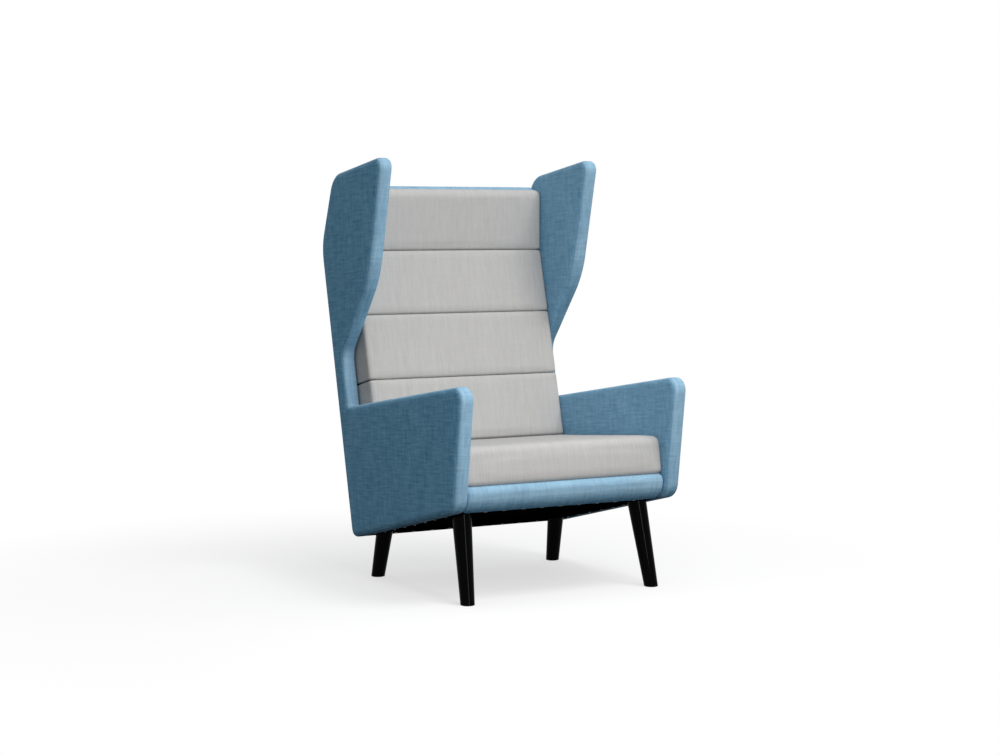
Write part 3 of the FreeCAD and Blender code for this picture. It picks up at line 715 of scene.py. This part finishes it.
# %% Backing of the back cushion
lining_gap = 0.0006
backing_middle = back_front + backing_thickness / 2
backing_rear = inset(rear_line, backing_middle)
backing_head = inset(head_line, backing_middle)
foot = meet(inset(deck_line, side_clearance + lining_gap), backing_rear)
top = meet(inset(cushion_top, head_end_gap), backing_head)
walk, _ = bend(backing_rear, backing_head, kink_radius - backing_middle, head_lean + shell_tilt)
bent = [walk(k / 8) for k in range(9)]
backing_points = straight(foot, bent[0], 60)[:-1] + bent + straight(bent[-1], top, 14)[1:]
backing = stretched_cloth("back_cushion_lining", backing_points, cushion_half - 0.002, 0.0010,
                          2 * cushion_half, "back_upholstery", "back_cushion_backing")

# %% Base of the seat cushion
base_hem = 0.007
base_line = inset(deck_line, side_clearance + lining_gap)
base_front = meet(base_line, inset(seat_front_line, 0.020))
base_rear = meet(base_line, inset(seat_rear_line, base_hem))
base = stretched_cloth("seat_cushion_lining", straight(base_front, base_rear, 50),
                       cushion_half - base_hem, 0.0008, 2 * (cushion_half - base_hem), "deck_pad",
                       "seat_cushion_base")

# %% [markdown]
# ## Dust cover
#
# A black cloth closes the seat box from below and keeps dust and crumbs off the floor. It is cut
# with a round hole for each leg and stapled to the frame. A grid of squares can't take round holes
# without ragged edges, so the mesh is a triangulation of the cut. Each point then gets its height:
# held up at the staples, a little full between them and sagging in the middle.

# %% Dust cover shape
foot_half_spacing = 0.289
foot_middle = -0.085339
foot_inset = 0.070
leg_side_lean = 3.1
rear_leg_lean = 12.4
foot_radius = 0.021
leg_growth = 0.0315
hole_clearance, cover_margin = 0.0006, 0.001
sheet_half = inner_half - side_clearance


def forward_of(point):
    """Distance of a (y, z) point forward along the underside, from the rear corner."""
    return ((rear_corner[0] - point[0]) * math.cos(tilt)
            + (point[1] - rear_corner[1]) * math.sin(tilt))


leg_holes = []
for hand, leg_lean in ((-1, shell_tilt), (1, rear_leg_lean)):
    y, z = meet((foot_middle + hand * foot_half_spacing, 0.0, 90 + hand * leg_lean), under_line)
    x = half_width - foot_inset - math.tan(math.radians(leg_side_lean)) * z
    radius = foot_radius + leg_growth * z / math.cos(math.radians(leg_lean)) + hole_clearance
    slant = math.radians(shell_tilt + hand * leg_lean)
    leg_holes += [(side * x, forward_of((y, z)), radius, radius / math.cos(slant))
                  for side in (-1, 1)]
cover_front = forward_of(meet(bottom_line, beam_front_line)) - cover_margin
cover_rear = back_recess + cover_margin
print("leg holes at:", [short(hole[:2]) for hole in leg_holes])

# %% Dust cover cut
hole_margin = 0.008
outline_points, loops = [], []


def add_loop(points):
    """Adds a closed line to the cut's outline."""
    first = len(outline_points)
    outline_points.extend(Vector(p) for p in points)
    loops.append(list(range(first, first + len(points))))


edges_x = [sheet_half * (2 * k / 48 - 1) for k in range(48)]
edges_f = [cover_rear + (cover_front - cover_rear) * k / 44 for k in range(44)]
span = cover_front + cover_rear
add_loop([(x, cover_rear) for x in edges_x] + [(sheet_half, f) for f in edges_f]
         + [(-x, cover_front) for x in edges_x] + [(-sheet_half, span - f) for f in edges_f])
for x, f, half_x, half_f in leg_holes:
    add_loop([(x + half_x * math.cos(k * math.pi / 18), f - half_f * math.sin(k * math.pi / 18))
              for k in range(36)])
inner = [Vector((x + 0.004 * math.sin(f * 190), f)) for x in edges_x[1:] for f in edges_f[1:]
         if all(((x - hx) / (rx + hole_margin)) ** 2 + ((f - hf) / (rf + hole_margin)) ** 2 > 1
                for hx, hf, rx, rf in leg_holes)]
cut_points, _, cut_faces, _, _, _ = delaunay_2d_cdt(outline_points + inner, [], loops, 3, 1e-6)
print("dust cover:", len(cut_points), "points,", len(cut_faces), "faces")

# %% Dust cover cloth
cloth_height = 0.0007
staple_band = 0.028
edge_reach, leg_reach = 0.09, 0.07
sag, sag_ripple, gather_depth = 0.0030, 0.0022, 0.0005
rng = np.random.default_rng(4)
ripples = [(rng.uniform(10, 45), rng.uniform(10, 45), rng.uniform(0, 6)) for _ in range(6)]


def cover_drop(x, f):
    """How far the cloth hangs below the frame's underside."""
    edge = min(sheet_half - abs(x), f - cover_rear, cover_front - f)
    off_leg = min(math.hypot(x - hx, f - hf) - rf for hx, hf, _, rf in leg_holes)
    free = min(max(edge - staple_band, 0.0) / edge_reach, max(off_leg, 0.0) / leg_reach, 1.0)
    free = free * free * (3 - 2 * free)
    wave = sum(math.sin(a * x + b * f + c) for a, b, c in ripples) / len(ripples)
    gather = math.sin(x * 90) * math.sin(f * 88) * (1 - free) * min(edge / 0.01, 1.0)
    return free * (sag + sag_ripple * wave) + gather_depth * gather


cut_size = (2 * sheet_half, cover_front - cover_rear)
cut_area = cut_size[0] * cut_size[1] - sum(math.pi * rx * rf for _, _, rx, rf in leg_holes)
dust_cover = lining_sheet(
    "dust_cover_cloth",
    [(x, *shell_point(f, cloth_height - cover_drop(x, f))) for x, f in cut_points],
    cut_faces, [(x, f, 0.0) for x, f in cut_points], 0.0006, "dust_cover", flat=cut_size,
    rests_on=["front_beam", "rear_beam", "left_seat_rail", "right_seat_rail"], area=cut_area)
print("dust cover:", short(cut_size), "m, area", round(cut_area, 4), "m2")

# %% [markdown]
# ## Finishes from nodes
#
# Each finish is a short sum. Its nodes could be wired one by one, but the sum would be lost among
# the wires. The class below wraps one output of a node, so that a sum in Python lays the nodes:
# Math for numbers, and Vector Math for colours and places, which keeps their three parts.

# %% Wires


class Wire:
    """One output of a node that takes part in sums."""

    def __init__(self, finish, socket):
        self.finish, self.socket = finish, socket

    def sum(self, operation, *values, out=0):
        kind = "Math" if self.socket.type == "VALUE" else "VectorMath"
        if kind == "VectorMath":
            values = [(v, v, v) if isinstance(v, (int, float)) else v for v in values]
        return self.finish.add(kind, {"operation": operation}, dict(enumerate(values)), out)

    def __add__(self, other):
        return self.sum("ADD", self, other)

    def __sub__(self, other):
        return self.sum("SUBTRACT", self, other)

    def __rsub__(self, other):
        return self.sum("SUBTRACT", other, self)

    def __mul__(self, other):
        return self.sum("MULTIPLY", self, other)

    __radd__ = __add__
    __rmul__ = __mul__

    def __abs__(self):
        return self.sum("ABSOLUTE", self)

    def sine(self):
        return self.sum("SINE", self)

    def length(self):
        """How far a place lies from nought."""
        return self.sum("LENGTH", self, out=1)

    def along(self, direction):
        """How far a place lies along a direction."""
        return self.sum("DOT_PRODUCT", self, direction, out=1)

    def bell(self, width):
        """One where the value is nought, falling away over a width."""
        return self.sum("EXPONENT", self * self * (-1 / width ** 2))

    def between(self, low, high):
        """Nought below low, one above high, and a straight rise between them."""
        return self.finish.add("MapRange", {"clamp": True},
                               {"Value": self, "From Min": low, "From Max": high})

    def mix(self, one, two):
        """From one colour to another as the value goes from nought to one."""
        return self.finish.add("Mix", {"data_type": "RGBA"}, {0: self, 6: one, 7: two}, out=2)


print("a wire knows:", ", ".join(name for name in vars(Wire) if name[0] != "_"))

# %% Finishes


class Finish:
    """The nodes of a material, on the flat cloth or in the chair, or those of the world."""

    def __init__(self, name, cloth=False, owner=None):
        self.material = owner or bpy.data.materials.new(name)
        self.material.use_nodes = True
        self.tree = self.material.node_tree
        self.tree.nodes.clear()
        if not owner:
            self.place = self.kept("cloth") if cloth else self.add("TexCoord", out="Object")

    def add(self, kind, settings=None, values=None, out=0):
        """Adds a node: settings first, then the values or wires of its sockets."""
        node = self.tree.nodes.new("ShaderNode" + kind)
        for name, value in (settings or {}).items():
            setattr(node, name, value)
        for name, value in (values or {}).items():
            if isinstance(value, Wire):
                self.tree.links.new(value.socket, node.inputs[name])
            else:
                node.inputs[name].default_value = value
        return Wire(self, node.outputs[out]) if node.outputs else node

    def seen(self):
        """One where the camera looks, straight, in a reflection or through glass."""
        rays = [self.add("LightPath", out=f"Is {kind} Ray")
                for kind in ("Camera", "Glossy", "Transmission")]
        return sum(rays).between(0.0, 1.0)

    def kept(self, name):
        """What add_corners has kept with the mesh."""
        return self.add("Attribute", {"attribute_name": name}, out="Vector")

    def parts(self, vector):
        """The three numbers of a vector."""
        first = self.add("SeparateXYZ", values={0: vector})
        return [Wire(self, socket) for socket in first.socket.node.outputs]

    def noise(self, scale, detail=1.0, roughness=0.5, shift=None):
        """Noise in patches per metre, with one scale or a scale per direction."""
        place = self.place + shift if shift else self.place
        return self.add("TexNoise", values={"Vector": place * scale, "Scale": 1.0,
                                            "Detail": detail, "Roughness": roughness})

    def surface(self, colour, roughness, height, depth, **constants):
        """Ends the finish with one shader, a bump and what is the same all over."""
        values = {"Base Color": colour, "Roughness": roughness,
                  "Normal": self.add("Bump", values={"Distance": depth, "Height": height})}
        values.update({name.replace("_", " "): value for name, value in constants.items()})
        self.add("OutputMaterial", values={"Surface": self.add("BsdfPrincipled", values=values)})
        return self.material

    def blend(self, ending, share, one, two):
        """Ends a finish that goes from one shader to another by a share."""
        both = self.add("MixShader", values={0: share, 1: one, 2: two})
        self.add(ending, values={"Surface": both})


def grey(value):
    return (value, value, value, 1)


def darker(colour, share):
    """A colour with each part cut to a share."""
    return tuple(part * share for part in colour[:3]) + (1,)


# %% [markdown]
# ## Cloths
#
# Both covers are wool in a plain weave of uneven yarns, which show as short streaks along and
# across. A picture of cloth would repeat, and blur close by. So each streak is noise that is
# stretched one way, and the weave is a product of two sines, which rises and falls like threads
# that go over and under. Along a seam the cloth puckers between the stitches. On the edges that
# face the lamps, and a little on the inner sides, the cloth is mixed towards a paler colour:
# painted light, partly also edge wear.

# %% Yarns and weave
yarn_pitch = 0.0016
stitch_pitch = 0.0042
thread_width, pucker_width = 0.0006, 0.0028
least_edge_light, edge_light_clouds = 0.26, 0.2


def streaks(finish, long_scale, thin_scale, across_share):
    """Streaks along the cloth, and a share of streaks across it, about nought."""
    along = finish.noise((long_scale, thin_scale, 1.0), 1.5)
    across = finish.noise((thin_scale, long_scale, 1.0), 1.5, shift=(3.7, 1.3, 0.2))
    return (along - 0.5) + (across - 0.5) * across_share


def weave(finish, pitch):
    """Height of threads that go over and under each other."""
    u, v, _ = finish.parts(finish.place * (math.pi / pitch))
    return u.sine() * v.sine()


def wool_cloth(name, dark, light, edge_light_colour, contrast, across_share, seam_shade):
    """A melange wool in a plain weave, with seams and painted light on its edges."""
    finish = Finish(name, cloth=True)
    fine = streaks(finish, 60.0, 480.0, across_share)
    long = streaks(finish, 15.0, 160.0, across_share)
    speck = finish.noise(380.0)
    cloud = finish.noise(7.0, 2.0)
    shade = fine * 0.55 + long * 1.1 + (speck - 0.5) * 0.4 + (cloud - 0.5) * 0.2
    colour = (shade * contrast + 0.5).between(0.0, 1.0).mix(dark, light)
    away, along, painted_edge_light = finish.parts(finish.kept("seam"))
    # painted light: towards a paler colour by the share of painted light that the mesh keeps,
    # patchy by the clouds
    colour = (painted_edge_light * (cloud * edge_light_clouds + least_edge_light)).mix(colour, edge_light_colour)
    colour = (away.bell(thread_width) * seam_shade).mix(colour, darker(dark, 0.3))
    pucker = (along * (2 * math.pi / stitch_pitch)).sine() * away.bell(pucker_width)
    height = weave(finish, yarn_pitch) * 0.45 + shade * 0.9 + pucker * 0.35
    return finish.surface(colour, 0.72 + shade * 0.25, height, 0.00030, Specular_IOR_Level=0.02,
                          Sheen_Weight=0.05, Sheen_Roughness=0.5)


# the third colour of each cloth is the paler one of the painted light on its edges
blue_cloth = wool_cloth("blue_wool", (0.077, 0.246, 0.415, 1), (0.203, 0.445, 0.640, 1),
                        (0.55, 0.65, 0.70, 1), contrast=1.25, across_share=0.8, seam_shade=0.28)
grey_cloth = wool_cloth("grey_wool", (0.400, 0.392, 0.380, 1), (0.560, 0.552, 0.540, 1),
                        (0.60, 0.59, 0.58, 1), contrast=0.5, across_share=0.35, seam_shade=0.0)
print("cloths:", blue_cloth.name, grey_cloth.name)

# %% [markdown]
# The lining is thin black cloth, pressed together in small dots, with a little dust in it. The felt
# is a mat of mixed grey fibres, some of them blue. Nobody sees either from a seat, so both have few
# nodes: noise for the fibres, and the weave's two sines for the dots.


# %% Lining cloth and felt
def lining_finish():
    finish = Finish("black_lining", cloth=True)
    dots = weave(finish, 0.0011).between(0.35, 0.75)
    fibres = finish.noise((300.0, 900.0, 1.0), 3.0)
    dust = finish.noise(25.0, 4.0).between(0.52, 0.8)
    colour = fibres.between(0.3, 0.7).mix((0.003, 0.003, 0.0035, 1), (0.012, 0.012, 0.013, 1))
    colour = (dust * 0.15).mix(colour, (0.04, 0.038, 0.036, 1))
    return finish.surface(colour, 0.85 - dots * 0.15, fibres * 0.4 - dots, 0.0002,
                          Specular_IOR_Level=0.0)


def felt_finish():
    finish = Finish("grey_felt", cloth=True)
    fibres = finish.noise((260.0, 700.0, 400.0), 4.0)
    specks = finish.noise(900.0, 2.0).between(0.62, 0.72)
    colour = fibres.between(0.3, 0.7).mix((0.16, 0.155, 0.15, 1), (0.42, 0.41, 0.40, 1))
    colour = specks.mix(colour, (0.10, 0.13, 0.20, 1))
    needles = finish.noise(350.0)
    return finish.surface(colour, 0.95, fibres + needles * 0.6, 0.0006, Sheen_Weight=0.1)


dressing = [(blue_pieces, blue_cloth), (cushions, grey_cloth),
            ([backing, base, dust_cover], lining_finish()), ([deck_pad], felt_finish())]
for pieces, cloth in dressing:
    for piece in pieces:
        piece.data.materials.append(cloth)
print("finished:", sum(len(pieces) for pieces, _ in dressing), "soft pieces")

# %% [markdown]
# ## Wood, steel and plastic
#
# The legs are lacquered black, so only a faint grain shows in their gloss, and scuffs near the
# floor. The boards are birch plywood with thin layers along their edges. The seat box is beech with
# short flecks, and black along its lower edge, which shows beside the dust cover. Flat colours
# would do for the picture, but with grain the frame can also be shown alone. Grain is noise that is
# stretched along the piece.

# %% Wood
black_band_height, black_band_edge = 0.020, 0.001


def lacquered_leg():
    finish = Finish("black_lacquer")
    grain = finish.noise((700.0, 700.0, 22.0), 3.0)
    smear = finish.noise((30.0, 30.0, 12.0), 3.0)
    scuffs = finish.noise((260.0, 260.0, 90.0), 4.0).between(0.66, 0.74)
    scuffs = scuffs * (1.0 - finish.parts(finish.place)[2].between(0.01, 0.07))
    colour = grain.between(0.35, 0.7).mix((0.0006, 0.0006, 0.0007, 1), (0.0016, 0.0015, 0.0015, 1))
    colour = (scuffs * 0.5).mix(colour, (0.03, 0.029, 0.027, 1))
    return finish.surface(colour, 0.05 + smear * 0.06 + scuffs * 0.3, grain, 0.00001,
                          Specular_IOR_Level=0.025)


def beech(name, grain_scale, fleck_scale):
    """Beech with its flecks, black along the lower edge of the seat box."""
    finish = Finish(name)
    pale, dark = (0.62, 0.42, 0.25, 1), (0.46, 0.28, 0.15, 1)
    grain = finish.noise(grain_scale, 4.0, 0.6)
    flecks = finish.noise(fleck_scale).between(0.62, 0.7)
    colour = (flecks * 0.5).mix(grain.between(0.3, 0.72).mix(pale, dark), darker(dark, 0.55))
    # black along the lowest 20 mm of the seat box, with a ragged top edge
    above = (finish.place - (0.0, *rear_corner)).along((0.0, math.sin(tilt), math.cos(tilt)))
    bare = (above + grain * 0.004).between(black_band_height - black_band_edge, black_band_height + black_band_edge)
    colour = (1.0 - bare).mix(colour, grey(0.004))
    return finish.surface(colour, 0.62 + grain * 0.2, grain - flecks * 0.4, 0.0002,
                          Specular_IOR_Level=0.08)


def plywood(name, layers, grain_scale):
    """Birch plywood: layers is the direction and the count of layers per metre."""
    finish = Finish(name)
    layer = (finish.place.along(layers) * (2 * math.pi)).sine().between(-0.35, 0.35)
    grain = finish.noise(grain_scale, 4.0, 0.6)
    cross = finish.noise((grain_scale[0], grain_scale[2], grain_scale[1]), 3.0)
    colour = grain.between(0.3, 0.75).mix((0.60, 0.46, 0.30, 1), (0.44, 0.30, 0.17, 1))
    colour = (layer * 0.35 * cross).mix(colour, (0.22, 0.13, 0.07, 1))
    return finish.surface(colour, 0.6 + grain * 0.2, grain + layer * 0.3, 0.00025,
                          Specular_IOR_Level=0.3)


# %% [markdown]
# The springs are oiled wire. The small steel parts are zinc plated, which leaves a cloudy, slightly
# blue surface with a few yellow stains. Steel could be plain grey with a gloss, but cloudy gloss is
# what tells plating from paint. The glides are moulded plastic, pale where the floor rubs them, and
# the tape under each wall is a black herringbone: a sine whose place is pushed to and fro.


# %% Steel, plastic and tape
def oiled_wire():
    finish = Finish("oiled_wire")
    oil = finish.noise(60.0, 3.0)
    scratches = finish.noise((900.0, 120.0, 900.0), 2.0)
    colour = oil.between(0.35, 0.7).mix((0.10, 0.10, 0.11, 1), (0.24, 0.235, 0.23, 1))
    return finish.surface(colour, 0.28 + oil * 0.25, scratches, 0.00005, Metallic=1.0)


def zinc_plate():
    finish = Finish("zinc_plate")
    cloud = finish.noise(120.0, 4.0)
    stains = finish.noise(40.0, 3.0).between(0.55, 0.75)
    colour = cloud.between(0.3, 0.7).mix((0.50, 0.53, 0.57, 1), (0.68, 0.69, 0.70, 1))
    colour = (stains * 0.35).mix(colour, (0.42, 0.38, 0.30, 1))
    return finish.surface(colour, 0.30 + cloud * 0.25, cloud, 0.00006, Metallic=1.0)


def moulded_plastic():
    finish = Finish("moulded_plastic")
    pebbles = finish.noise(1800.0)
    wear = finish.noise((300.0, 300.0, 90.0), 4.0).between(0.55, 0.75)
    colour = (wear * 0.4).mix(grey(0.010), (0.055, 0.054, 0.052, 1))
    return finish.surface(colour, 0.45 + wear * 0.25, pebbles, 0.00008, Specular_IOR_Level=0.3)


def herringbone_tape():
    finish = Finish("woven_tape")
    x, y, _ = finish.parts(finish.place)
    zigzag = abs((x * (2 * math.pi / 0.006)).sine()) * 0.002
    twill = ((y + zigzag) * (2 * math.pi / 0.0014)).sine()
    yarn = finish.noise((800.0, 200.0, 200.0), 2.0)
    colour = twill.between(-1.0, 1.0).mix((0.008, 0.008, 0.009, 1), (0.030, 0.030, 0.032, 1))
    return finish.surface(colour, 0.7 + yarn * 0.2, twill + yarn, 0.00025, Specular_IOR_Level=0.2)


# %% Finishes on the CAD model's nodes
layer_count = 420.0
through_back = (0.0, layer_count * math.cos(tilt), -layer_count * math.sin(tilt))
across_grain = beech("beech_across", (8.0, 160.0, 160.0), (120.0, 700.0, 700.0))
along_grain = beech("beech_along", (160.0, 8.0, 160.0), (700.0, 120.0, 700.0))
finishes = {"plywood": plywood("birch_side", (layer_count, 0.0, 0.0), (160.0, 120.0, 9.0)),
            "hardwood": across_grain, "black_wood": lacquered_leg(),
            "webbing": herringbone_tape(), "black_plastic": moulded_plastic(),
            "spring_steel": oiled_wire(), "zinc_steel": zinc_plate()}
by_node = {"back_board": plywood("birch_back", through_back, (120.0, 160.0, 9.0)),
           "left_seat_rail": along_grain, "right_seat_rail": along_grain}
dressed = 0
for name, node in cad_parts.items():
    for holder in node.material_slots if node.name in bpy.data.objects else []:
        slot_name = holder.material.name.split(".")[0]
        if slot_name in finishes:
            holder.link = "OBJECT"
            holder.material = by_node.get(name, finishes[slot_name])
            dressed += 1
print("CAD nodes dressed:", dressed)

# %% [markdown]
# ## Floor and background
#
# The chair stands on a white sweep. A stronger lamp could make it white, but would bleach the chair
# too. So the floor has a white glow that only the camera and reflections see, and less of it near
# the chair, where its matt paper keeps the shadow. The world is white to them in the same way, and
# to all else it is a dim light that fills the shadows.

# %% Floor
floor_corners = ((-14, -9), (14, -9), (14, 30), (-14, 30))
shadow_middle = (-0.25, 0.0, 0.0)
shadow_start, shadow_end = 0.45, 1.8
near_share = 0.62
white_light = {"Color": grey(1), "Strength": 1.0}

floor = linked("floor", [(x, y, 0) for x, y in floor_corners], [(0, 1, 2, 3)])
floor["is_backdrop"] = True
sweep = Finish("white_sweep")
seen = sweep.seen()
off_chair = (sweep.place - shadow_middle).length().between(shadow_start, shadow_end)
share = off_chair * (1 - near_share) + near_share
paper = sweep.add("BsdfDiffuse", values={"Color": seen.mix(grey(0.06), grey(0.93))})
sweep.blend("OutputMaterial", seen * share, paper, sweep.add("Emission", values=white_light))
floor.data.materials.append(sweep.material)
print("glow near the chair:", near_share)

# %% World
fill_light = 0.49
scene.world = bpy.data.worlds.new("studio")
studio = Finish("studio", owner=scene.world)
dim = studio.add("Background", values={"Color": grey(1), "Strength": fill_light})
studio.blend("OutputWorld", studio.seen(), dim, studio.add("Background", values=white_light))
print("fill:", fill_light)

# %% [markdown]
# ## Light
#
# The key light is a softbox in front, to the right and above. A smaller one stands near, straight
# in front, and looks in between the arms. A third hangs overhead. Point lamps would be easier to
# place, but their shadows are hard, and the picture's are soft. A narrow upright strip draws the
# thin highlight on the front legs.


# %% Lamps
def softbox(name, azimuth, elevation, distance, size, watts, aim=(0.0, -0.05, 0.6)):
    """A square lamp that looks at the chair; azimuth nought is straight in front."""
    lamp = bpy.data.lights.new(name, "AREA")
    lamp.size = size
    lamp.energy = watts
    holder = bpy.data.objects.new(name, lamp)
    turn, up = math.radians(azimuth), math.radians(elevation)
    away = Vector((math.sin(turn) * math.cos(up), -math.cos(turn) * math.cos(up), math.sin(up)))
    holder.location = Vector(aim) + away * distance
    holder.rotation_euler = away.to_track_quat("Z", "Y").to_euler()
    scene.collection.objects.link(holder)
    return lamp


softbox("key", 26, 57, 4.5, 1.6, 98)
softbox("near_front", -14, 28, 2.0, 1.1, 9.5, aim=(0.0, -0.05, 0.45))
softbox("overhead", 0, 89, 3.5, 2.4, 8)
strip = softbox("strip", -6, 17, 2.7, 0.30, 16, aim=(0.0, -0.30, 0.15))
strip.shape = "RECTANGLE"
strip.size_y = 0.9
scene.view_settings.view_transform = "Standard"
print("lamps:", [o.name for o in scene.objects if o.type == "LIGHT"])

# %% [markdown]
# ## Size and end
#
# The cloth may stand a little proud of the CAD model, but the chair must not grow. Both boxes are
# written down, so that they can be compared.

# %% Size and end
seen_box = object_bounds()
print("visual box:", short((*seen_box[0], *seen_box[1]), 4))
